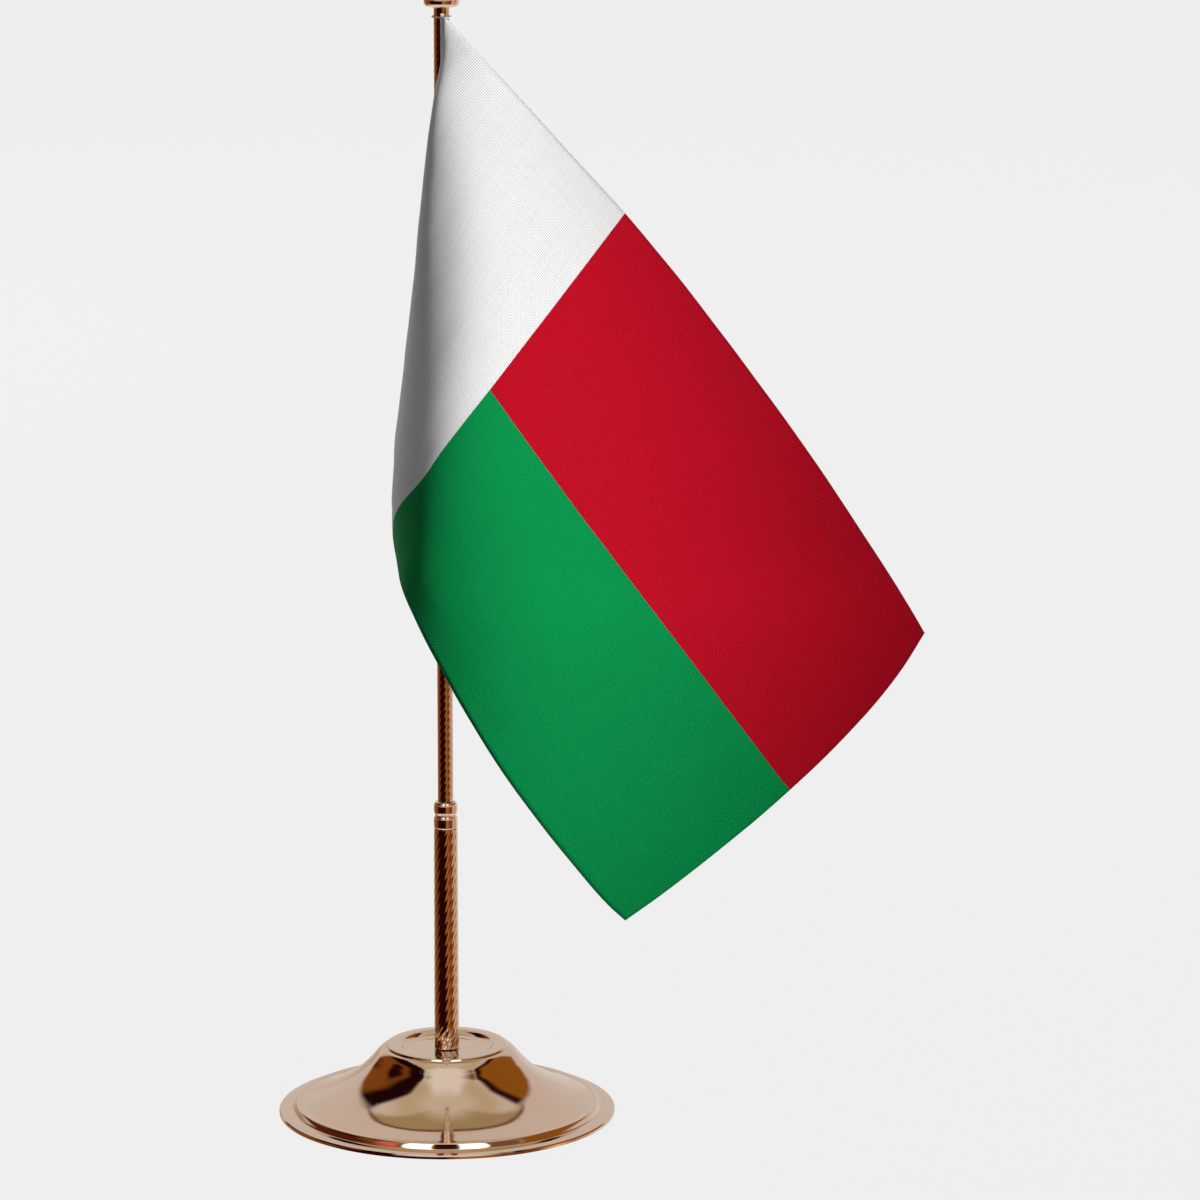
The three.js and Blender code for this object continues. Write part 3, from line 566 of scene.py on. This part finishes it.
# ---- cloth --------------------------------------------------------------------------------------------------
# Middle surface in mm: rows from hoist to fly, each from the top edge to the bottom edge.
CLOTH = [
  [[0.50,-5.10,322.70],[0.50,-5.10,310.01],[0.50,-5.10,297.32],[0.50,-5.10,284.64],[0.50,-5.10,271.95],[0.50,-5.10,259.26],[0.50,-5.10,246.57],[0.50,-5.10,233.88],[0.50,-5.10,221.20],[0.50,-5.10,208.51],[0.50,-5.10,195.82]],
  [[5.20,-6.78,317.98],[-0.40,-8.97,306.91],[-2.32,-9.28,294.62],[-2.83,-9.15,282.11],[-3.00,-8.79,269.52],[-3.15,-8.06,256.93],[-3.32,-7.31,244.27],[-3.29,-6.66,231.59],[-3.14,-6.19,218.92],[-3.04,-5.77,206.28],[-2.85,-5.51,193.63]],
  [[9.41,-8.73,313.55],[0.80,-12.52,303.44],[-2.87,-13.77,291.67],[-4.66,-13.73,279.44],[-5.50,-13.09,266.97],[-5.97,-11.86,254.38],[-7.00,-9.78,241.90],[-6.99,-8.31,229.26],[-6.65,-7.36,216.60],[-6.48,-6.48,204.00],[-6.08,-5.96,191.38]],
  [[13.70,-9.97,309.04],[5.13,-15.14,299.72],[-0.28,-17.70,288.50],[-3.89,-18.31,276.51],[-6.26,-17.79,264.22],[-7.33,-16.26,251.66],[-8.74,-13.79,239.13],[-10.15,-10.49,226.76],[-9.86,-8.76,214.19],[-9.82,-7.16,201.64],[-9.08,-6.50,189.05]],
  [[18.04,-10.62,304.42],[9.93,-16.91,295.73],[3.59,-20.94,285.22],[-1.27,-22.30,273.46],[-5.18,-22.38,261.39],[-7.49,-20.93,248.94],[-9.16,-18.33,236.39],[-10.65,-14.88,223.95],[-12.13,-11.07,211.61],[-13.44,-7.38,199.23],[-11.85,-7.13,186.64]],
  [[22.36,-11.12,299.73],[14.67,-18.20,291.53],[7.93,-23.39,281.67],[2.19,-25.81,270.35],[-2.79,-26.53,258.51],[-6.56,-25.55,246.27],[-9.10,-23.08,233.85],[-10.90,-19.62,221.42],[-12.33,-15.72,209.03],[-13.67,-11.79,196.62],[-14.49,-7.81,184.17]],
  [[26.67,-11.75,295.07],[19.25,-19.30,287.19],[12.36,-25.25,277.83],[5.98,-28.98,267.15],[0.28,-30.31,255.59],[-4.65,-29.91,243.61],[-8.40,-27.85,231.42],[-10.91,-24.51,219.12],[-12.48,-20.61,206.77],[-13.71,-16.57,194.39],[-14.39,-12.44,182.04]],
  [[30.93,-12.52,290.45],[23.70,-20.32,282.77],[16.75,-26.76,273.76],[10.02,-31.43,263.62],[3.64,-33.83,252.57],[-2.06,-33.94,240.88],[-6.99,-32.49,229.02],[-10.48,-29.44,216.94],[-12.58,-25.59,204.70],[-13.74,-21.50,192.41],[-14.25,-17.31,180.15]],
  [[35.12,-13.37,285.86],[28.04,-21.35,278.31],[21.06,-28.10,269.55],[14.13,-33.36,259.79],[7.27,-36.78,249.28],[0.88,-37.72,238.04],[-4.95,-36.90,226.53],[-9.49,-34.27,214.74],[-12.35,-30.59,202.70],[-13.67,-26.49,190.51],[-14.06,-22.25,178.33]],
  [[39.30,-14.27,281.37],[32.29,-22.40,273.83],[25.29,-29.37,265.24],[18.20,-34.99,255.75],[11.03,-39.20,245.67],[3.98,-41.33,235.03],[-2.49,-41.06,223.88],[-7.90,-38.90,212.43],[-11.63,-35.53,200.66],[-13.34,-31.48,188.61],[-13.73,-27.19,176.50]],
  [[43.48,-15.23,276.99],[36.48,-23.47,269.35],[29.43,-30.65,260.86],[22.19,-36.52,251.56],[14.80,-41.21,241.77],[7.34,-44.29,231.59],[0.23,-44.96,220.99],[-5.81,-43.26,209.93],[-10.40,-40.32,198.52],[-12.64,-36.41,186.67],[-13.17,-32.11,174.65]],
  [[47.58,-16.27,272.63],[40.60,-24.59,264.84],[33.49,-31.96,256.41],[26.08,-38.01,247.26],[18.48,-43.01,237.65],[10.77,-46.73,227.74],[3.26,-48.34,217.73],[-3.40,-47.38,207.22],[-8.70,-44.94,196.25],[-11.60,-41.26,184.67],[-12.50,-37.03,172.81]],
  [[51.69,-17.37,268.23],[44.68,-25.76,260.26],[37.47,-33.28,251.90],[29.89,-39.52,242.87],[22.06,-44.72,233.39],[14.10,-48.85,223.56],[6.47,-51.23,214.12],[-0.84,-51.36,204.31],[-6.60,-49.34,193.80],[-10.26,-46.03,182.61],[-11.94,-42.00,171.03]],
  [[56.19,-18.63,263.08],[48.87,-27.02,255.48],[41.43,-34.64,247.29],[33.63,-41.03,238.41],[25.54,-46.40,229.06],[17.26,-50.80,219.48],[9.67,-53.76,210.35],[2.16,-54.74,201.00],[-4.20,-53.54,191.04],[-8.71,-50.69,180.40],[-11.37,-46.96,169.35]],
  [[60.63,-19.98,257.85],[53.01,-28.33,250.61],[45.31,-36.01,242.62],[37.31,-42.56,233.89],[28.98,-48.07,224.68],[20.44,-52.65,215.29],[12.93,-56.04,206.40],[5.42,-57.63,197.36],[-1.45,-57.26,187.88],[-7.04,-55.21,177.90],[-10.50,-51.72,167.51]],
  [[65.02,-21.37,252.72],[57.05,-29.68,245.70],[49.13,-37.42,237.90],[40.94,-44.10,229.33],[32.41,-49.75,220.27],[23.68,-54.46,211.03],[16.23,-58.17,202.33],[8.74,-60.23,193.48],[1.52,-60.51,184.34],[-4.79,-59.04,174.79],[-9.05,-55.55,164.74]],
  [[69.25,-22.77,247.59],[61.01,-31.05,240.76],[52.88,-38.85,233.15],[44.53,-45.64,224.74],[35.84,-51.41,215.84],[26.99,-56.25,206.72],[19.55,-60.22,198.16],[12.02,-62.67,189.45],[4.55,-63.40,180.50],[-2.21,-62.16,171.14],[-7.15,-58.44,161.26]],
  [[73.31,-24.20,242.46],[64.88,-32.45,235.82],[56.59,-40.29,228.39],[48.10,-47.18,220.14],[39.29,-53.07,211.38],[30.37,-58.03,202.39],[22.87,-62.23,193.92],[15.26,-65.03,185.31],[7.58,-66.01,176.45],[0.52,-64.64,167.13],[-5.11,-60.66,157.37]],
  [[77.29,-25.63,237.39],[68.70,-33.87,230.89],[60.26,-41.75,223.62],[51.66,-48.73,215.52],[42.76,-54.74,206.90],[33.76,-59.82,198.02],[26.19,-64.22,189.63],[18.47,-67.29,181.09],[10.62,-68.28,172.23],[3.39,-66.52,162.91],[-2.90,-62.48,153.32]],
  [[81.24,-27.08,232.41],[72.46,-35.30,225.99],[63.90,-43.22,218.85],[55.21,-50.28,210.89],[46.24,-56.40,202.40],[37.18,-61.63,193.62],[29.53,-66.20,185.31],[21.70,-69.37,176.79],[13.75,-70.05,167.86],[6.33,-67.96,158.58],[-0.51,-64.05,149.20]],
  [[85.07,-28.53,227.43],[76.18,-36.74,221.12],[67.52,-44.69,214.10],[58.76,-51.83,206.26],[49.75,-58.08,197.90],[40.66,-63.46,189.23],[32.90,-68.10,180.97],[24.98,-71.08,172.38],[16.96,-71.25,163.37],[9.28,-69.09,154.17],[1.93,-65.47,145.00]],
  [[88.82,-29.98,222.49],[79.86,-38.19,216.28],[71.13,-46.17,209.36],[62.33,-53.40,201.64],[53.30,-59.78,193.41],[44.20,-65.27,184.85],[36.33,-69.81,176.57],[28.30,-72.24,167.84],[20.19,-71.99,158.81],[12.23,-70.01,149.72],[4.41,-66.78,140.72]],
  [[92.56,-31.44,217.63],[83.51,-39.65,211.47],[74.72,-47.66,204.64],[65.91,-54.99,197.03],[56.88,-61.49,188.92],[47.75,-67.02,180.42],[39.78,-71.17,172.05],[31.66,-72.81,163.19],[23.41,-72.43,154.20],[15.19,-70.77,145.23],[6.99,-67.96,136.40]],
  [[96.22,-32.92,212.80],[87.11,-41.12,206.70],[78.32,-49.18,199.94],[69.52,-56.60,192.45],[60.50,-63.19,184.43],[51.32,-68.59,175.93],[43.24,-71.98,167.38],[35.01,-72.96,158.49],[26.63,-72.66,149.58],[18.17,-71.39,140.73],[9.66,-69.01,132.05]],
  [[99.77,-34.42,207.99],[90.67,-42.62,201.95],[81.91,-50.73,195.29],[73.17,-58.23,187.90],[64.16,-64.80,179.93],[54.92,-69.77,171.31],[46.69,-72.23,162.63],[38.35,-72.86,153.77],[29.84,-72.77,144.95],[21.17,-71.89,136.21],[12.39,-69.94,127.66]],
  [[103.25,-35.94,203.22],[94.19,-44.17,197.25],[85.52,-52.32,190.67],[76.85,-59.84,183.36],[67.87,-66.19,175.37],[58.56,-70.38,166.57],[50.16,-72.10,157.84],[41.71,-72.65,149.05],[33.07,-72.78,140.33],[24.22,-72.27,131.71],[15.21,-70.75,123.27]],
  [[106.66,-37.50,198.51],[97.69,-45.77,192.60],[89.14,-53.95,186.07],[80.55,-61.37,178.79],[71.56,-67.18,170.68],[62.17,-70.41,161.76],[53.63,-71.75,153.04],[45.07,-72.38,144.34],[36.32,-72.73,135.73],[27.33,-72.52,127.23],[18.15,-71.41,118.89]],
  [[109.92,-39.14,193.83],[101.14,-47.44,187.99],[92.76,-55.58,181.49],[84.24,-62.68,174.14],[75.16,-67.56,165.79],[65.73,-70.05,156.87],[57.11,-71.29,148.24],[48.46,-72.09,139.65],[39.60,-72.62,131.15],[30.51,-72.66,122.77],[21.21,-71.94,114.54]],
  [[113.10,-40.84,189.23],[104.57,-49.17,183.41],[96.37,-57.13,176.85],[87.84,-63.54,169.30],[78.66,-67.35,160.79],[69.28,-69.45,151.98],[60.60,-70.78,143.44],[51.87,-71.76,134.97],[42.92,-72.45,126.59],[33.74,-72.70,118.33],[24.37,-72.31,110.23]],
  [[116.19,-42.62,184.72],[107.96,-50.89,178.84],[99.91,-58.42,172.08],[91.27,-63.72,164.22],[82.08,-66.74,155.72],[72.82,-68.73,147.06],[64.10,-70.22,138.65],[55.30,-71.40,130.30],[46.27,-72.24,122.05],[37.01,-72.66,113.92],[27.57,-72.55,105.91]],
  [[119.22,-44.43,180.30],[111.31,-52.48,174.23],[103.29,-59.17,167.08],[94.55,-63.27,159.01],[85.46,-65.90,150.61],[76.34,-67.96,142.13],[67.61,-69.63,133.85],[58.75,-70.98,125.64],[49.65,-71.97,117.52],[40.33,-72.55,109.52],[30.82,-72.68,101.61]],
  [[122.22,-46.22,175.97],[114.56,-53.68,169.48],[106.46,-59.09,161.89],[97.76,-62.42,153.75],[88.85,-64.95,145.48],[79.87,-67.14,137.18],[71.13,-68.99,129.05],[62.22,-70.51,120.98],[53.06,-71.66,113.01],[43.68,-72.39,105.14],[34.14,-72.70,97.35]],
  [[125.15,-47.77,171.63],[117.66,-54.18,164.52],[109.52,-58.38,156.63],[100.97,-61.35,148.50],[92.26,-63.95,140.36],[83.42,-66.28,132.24],[74.66,-68.30,124.25],[65.70,-69.97,116.34],[56.50,-71.28,108.52],[47.07,-72.18,100.79],[37.52,-72.64,93.12]],
  [[128.01,-48.72,167.20],[120.60,-53.81,159.47],[112.59,-57.29,151.40],[104.27,-60.19,143.30],[95.71,-62.90,135.25],[86.96,-65.38,127.28],[78.19,-67.55,119.44],[69.21,-69.38,111.71],[59.97,-70.84,104.06],[50.50,-71.90,96.46],[40.88,-72.54,88.89]],
  [[130.75,-48.64,162.66],[123.53,-52.81,154.47],[115.79,-56.01,146.26],[107.68,-58.97,138.16],[99.23,-61.82,130.17],[90.47,-64.43,122.29],[81.74,-66.73,114.64],[72.73,-68.70,107.10],[63.48,-70.32,99.61],[54.00,-71.52,92.18],[44.30,-72.31,84.73]],
  [[133.32,-47.58,158.17],[126.55,-51.44,149.59],[119.17,-54.66,141.22],[111.22,-57.75,133.10],[102.84,-60.73,125.14],[94.03,-63.46,117.34],[85.31,-65.87,109.85],[76.27,-67.94,102.49],[67.02,-69.67,95.19],[57.57,-71.00,87.97],[47.90,-71.87,80.76]],
  [[135.73,-45.97,153.73],[129.67,-49.88,144.81],[122.69,-53.30,136.27],[114.87,-56.54,128.12],[106.54,-59.66,120.17],[97.79,-62.47,112.51],[88.93,-64.97,105.08],[79.81,-67.11,97.90],[70.57,-68.92,90.78],[61.21,-70.32,83.80],[51.73,-71.17,77.07]]
]


def refine(P, k):
    """Catmull-Rom along the first axis, k new steps for each old one."""
    n = P.shape[0]
    ext = np.concatenate([(2 * P[0] - P[1])[None], P, (2 * P[-1] - P[-2])[None]])
    out = []
    for i in range(n - 1):
        p0, p1, p2, p3 = ext[i], ext[i + 1], ext[i + 2], ext[i + 3]
        for j in range(k):
            t = j / k
            out.append(0.5 * (2 * p1 + (p2 - p0) * t + (2 * p0 - 5 * p1 + 4 * p2 - p3) * t * t + (3 * p1 - p0 - 3 * p2 + p3) * t**3))
    out.append(P[-1])
    return np.array(out)


G = np.array(CLOTH, float)
G = refine(G, 4)
G = refine(G.transpose(1, 0, 2), 8).transpose(1, 0, 2)
n, m = G.shape[:2]
du = np.gradient(G, axis=0)
dv = np.gradient(G, axis=1)
nor = np.cross(du, dv)
nor /= np.linalg.norm(nor, axis=2)[..., None]
T = 0.28                                   # thickness in mm
verts, faces, uvs = [], [], []
for side in (1, -1):
    for i in range(n):
        for j in range(m):
            edge = 0.45 if i in (0, n - 1) or j in (0, m - 1) else 1.0
            verts.append((G[i, j] + nor[i, j] * side * T / 2 * edge) * MM)
            t = j / (m - 1)
            lean = max(0.0, (t - 0.72) / 0.28) ** 2 * 0.030 * math.exp(-((i / (n - 1) - 0.33) / 0.16) ** 2)
            uvs.append((CLOTH_L * i / (n - 1) + lean, CLOTH_H * t))
o = n * m
for i in range(n - 1):
    for j in range(m - 1):
        a, b, c, d = i * m + j, (i + 1) * m + j, (i + 1) * m + j + 1, i * m + j + 1
        faces.append((a, b, c, d))
        faces.append((o + a, o + d, o + c, o + b))
for i in range(n - 1):
    a, b = i * m, (i + 1) * m
    faces.append((a, o + a, o + b, b))
    a, b = i * m + m - 1, (i + 1) * m + m - 1
    faces.append((a, b, o + b, o + a))
for j in range(m - 1):
    a, b = j, j + 1
    faces.append((a, b, o + b, o + a))
    a, b = (n - 1) * m + j, (n - 1) * m + j + 1
    faces.append((a, o + a, o + b, b))
cloth = new_object("flag_printed_cloth", verts, faces, True, printed)
turn_out(cloth)
layer = cloth.data.uv_layers.new(name="UVMap")
for loop in cloth.data.loops:
    layer.data[loop.index].uv = uvs[loop.vertex_index]
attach(cloth, "flag")
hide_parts("flag_cloth")
cloth.visible_glossy = False
tape.visible_glossy = False

# ---- floor ----------------------------------------------------------------------------------------------------
floor_mat = Nodes("pale_floor")
floor_mat.shader.inputs["Base Color"].default_value = (0.02, 0.02, 0.02, 1)
floor_mat.shader.inputs["Roughness"].default_value = 1.0
floor_mat.shader.inputs["Specular IOR Level"].default_value = 0.0
floor_mat.shader.inputs["Emission Color"].default_value = (1, 1, 1, 1)
floor_mat.shader.inputs["Emission Strength"].default_value = 0.853
floor = new_object("floor", [(-6, -6, 0), (6, -6, 0), (6, 6, 0), (-6, 6, 0)], [(0, 1, 2, 3)], False, floor_mat.mat)
floor.location.z = -0.0001
floor.visible_glossy = False
floor.visible_diffuse = False
floor.visible_transmission = False

# ---- lights -----------------------------------------------------------------------------------------------------
def area(name, location, target, size, power, colour=(1, 1, 1)):
    d = bpy.data.lights.new(name, "AREA")
    d.shape = "DISK"
    d.size = size
    d.energy = power
    d.color = colour
    ob = bpy.data.objects.new(name, d)
    ob.location = location
    ob.rotation_euler = (Vector(target) - Vector(location)).to_track_quat("-Z", "Y").to_euler()
    ob.visible_glossy = False
    ob.visible_camera = False
    scene.collection.objects.link(ob)
    return ob


area("front_fill", (0.10, -2.2, 0.9), (0.03, -0.02, 0.2), 1.0, 4.5)
area("back_fill", (-0.75, 1.5, 0.9), (0.0, 0.0, 0.18), 0.8, 16.0)

# soft-edged key from the right: its beam fades out towards the fly
key_data = bpy.data.lights.new("key", "SPOT")
key_data.energy = 89.0
key_data.spot_size = math.radians(59)
key_data.spot_blend = 1.0
key_data.shadow_soft_size = 0.08
key = bpy.data.objects.new("key", key_data)
key.location = (0.637, -0.746, 0.318)
key.rotation_euler = (Vector((-0.68, -0.03, 0.258)) - key.location).to_track_quat("-Z", "Y").to_euler()
key.visible_glossy = False
key.visible_camera = False
scene.collection.objects.link(key)

# ---- world: what the bright metal mirrors -----------------------------------------------------------------------
world = bpy.data.worlds.new("studio")
scene.world = world
world.use_nodes = True
wt = world.node_tree
wt.nodes.clear()


def wadd(kind, **props):
    nd = wt.nodes.new(kind)
    for k, v in props.items():
        setattr(nd, k, v)
    return nd


def wmath(op, a, b=None, c=None, clamp=False):
    nd = wadd("ShaderNodeMath", operation=op, use_clamp=clamp)
    for i, v in enumerate((a, b, c)):
        if v is None:
            continue
        if isinstance(v, (int, float)):
            nd.inputs[i].default_value = v
        else:
            wt.links.new(v, nd.inputs[i])
    return nd.outputs[0]


def step_up(x, edge, soft):
    """0 below the edge, 1 above it, smooth over soft degrees. edge may be a socket."""
    d = wmath("SUBTRACT", x, edge)
    nd = wadd("ShaderNodeMapRange", interpolation_type="SMOOTHSTEP")
    wt.links.new(d, nd.inputs["Value"])
    nd.inputs["From Min"].default_value = -soft / 2
    nd.inputs["From Max"].default_value = soft / 2
    return nd.outputs["Result"]


def wmix(fac, a, b):
    nd = wadd("ShaderNodeMix", data_type="RGBA")
    for sock, v in ((nd.inputs[0], fac), (nd.inputs[6], a), (nd.inputs[7], b)):
        if isinstance(v, (int, float)):
            sock.default_value = v
        elif isinstance(v, tuple):
            sock.default_value = (*v, 1) if len(v) == 3 else v
        else:
            wt.links.new(v, sock)
    return nd.outputs[2]


direction = wadd("ShaderNodeTexCoord").outputs["Generated"]
sep = wadd("ShaderNodeSeparateXYZ")
wt.links.new(direction, sep.inputs[0])
wx_, wy_, wz_ = sep.outputs
az = wmath("MULTIPLY", wmath("ARCTAN2", wx_, wmath("MULTIPLY", wy_, -1.0)), 180 / math.pi)
el = wmath("MULTIPLY", wmath("ARCSINE", wz_), 180 / math.pi)


def band(x, a, b, soft):
    return wmath("MULTIPLY", step_up(x, a, soft), wmath("SUBTRACT", 1.0, step_up(x, b, soft)))


def both(*masks):
    r = masks[0]
    for mm in masks[1:]:
        r = wmath("MULTIPLY", r, mm)
    return r


def arch(top, centre, width, drop):
    """Elevation of an arched upper edge: top - drop * ((az - centre) / width)^2."""
    q = wmath("DIVIDE", wmath("SUBTRACT", az, centre), width)
    return wmath("SUBTRACT", top, wmath("MULTIPLY", wmath("MULTIPLY", q, q), drop))


env = wadd("ShaderNodeRGB").outputs[0]
env.default_value = (0.70, 0.66, 0.63, 1)
# warm ceiling, lighter overhead and at the front, with a dark edge where it meets the bright back wall
back_d = wmath("SUBTRACT", 180.0, wmath("ABSOLUTE", az))
back_q = wmath("DIVIDE", back_d, 33.0)
rim = wmath("SUBTRACT", 62.0, wmath("MULTIPLY", wmath("MULTIPLY", back_q, back_q), 13.0))
over = wmath("SUBTRACT", el, rim)
behind = wmath("SUBTRACT", 1.0, step_up(back_d, 36, 6))
env = wmix(step_up(el, 60, 12), env, (0.60, 0.52, 0.38))
env = wmix(wmath("MULTIPLY", behind, step_up(over, 0.8, 3)), env, (0.42, 0.33, 0.185))
env = wmix(wmath("MULTIPLY", behind, band(over, -0.6, 2.2, 1.6)), env, (0.17, 0.06, 0.02))
env = wmix(step_up(el, 74, 12), env, (0.68, 0.63, 0.53))
env = wmix(wmath("MULTIPLY", band(az, -45, 45, 30), band(el, 56, 78, 12)), env, (0.86, 0.88, 0.88))
# dark room corners with amber furniture, left and right
topL = arch(64, -85, 62, 19)
sideL = both(step_up(az, -143, 7), wmath("SUBTRACT", 1.0, step_up(az, -45, 8)), step_up(el, 10, 6))
dL = wmath("SUBTRACT", topL, el)
colL = wmix(step_up(dL, 15, 7), (0.015, 0.002, 0.003), (0.24, 0.075, 0.012))
colL = wmix(both(band(az, -112, -77, 9), band(dL, 19, 37, 6)), colL, (0.02, 0.003, 0.003))
colL = wmix(band(dL, 33, 60, 6), colL, (0.10, 0.02, 0.01))
env = wmix(both(sideL, step_up(dL, 0, 4)), env, colL)
topR = arch(59, 92, 53, 10)
sideR = both(step_up(az, 63, 8), wmath("SUBTRACT", 1.0, step_up(az, 142, 7)), step_up(el, 17, 6))
dR = wmath("SUBTRACT", topR, el)
colR = wmix(step_up(dR, 6, 4), (0.03, 0.004, 0.004), (0.30, 0.115, 0.012))
env = wmix(both(sideR, step_up(dR, 0, 4)), env, colR)
# front: two tall windows with a dark pier between, amber over them
front = both(band(az, -45, 63, 8), band(el, 25, 59, 5))
env = wmix(front, env, (0.22, 0.11, 0.06))
env = wmix(both(band(az, -10, 10, 5), band(el, 34, 54, 3)), env, (0.02, 0.004, 0.004))
win = wmath("ADD", both(band(az, -35, -12, 4), band(el, 32, 57, 3)), both(band(az, 12, 35, 4), band(el, 32, 57, 3)))
env = wmix(win, env, (3.0, 2.95, 2.9))
env = wmix(both(band(az, -58, -40, 6), band(el, 30, 48, 6)), env, (0.75, 0.17, 0.12))
# below the horizon: what the upright pole mirrors
low = wmath("SUBTRACT", 1.0, step_up(el, 6, 8))
nd = wadd("ShaderNodeValToRGB")
cr = nd.color_ramp
wt.links.new(wmath("MULTIPLY_ADD", az, 1 / 360, 0.5), nd.inputs[0])
stops = [(-180, (0.72, 0.66, 0.60)), (-150, (0.50, 0.38, 0.27)), (-118, (0.27, 0.12, 0.035)), (-84, (0.21, 0.065, 0.015)), (-70, (0.03, 0.002, 0.002)),
         (0, (0.025, 0.002, 0.002)), (12, (0.46, 0.22, 0.07)), (34, (0.32, 0.12, 0.035)), (50, (0.22, 0.062, 0.02)), (66, (0.22, 0.08, 0.03)),
         (82, (1.0, 0.72, 0.45)), (98, (0.50, 0.30, 0.17)), (130, (0.80, 0.82, 0.84)), (180, (0.72, 0.66, 0.60))]
els = cr.elements
while len(els) > 1:
    els.remove(els[-1])
els[0].position, els[0].color = 0.0, (*stops[0][1], 1)
for a_, c_ in stops[1:]:
    e_ = els.new(a_ / 360 + 0.5)
    e_.color = (*c_, 1)
env = wmix(low, env, nd.outputs[0])
# far below: the bright table top
env = wmix(wmath("SUBTRACT", 1.0, step_up(el, -36, 12)), env, (0.95, 0.90, 0.84))

path = wadd("ShaderNodeLightPath")
seen = wmix(path.outputs["Is Glossy Ray"], (0.10, 0.10, 0.10), env)
seen = wmix(path.outputs["Is Camera Ray"], seen, (0.855, 0.855, 0.855))
bg = wadd("ShaderNodeBackground")
wt.links.new(seen, bg.inputs["Color"])
wout = wadd("ShaderNodeOutputWorld")
wt.links.new(bg.outputs[0], wout.inputs["Surface"])
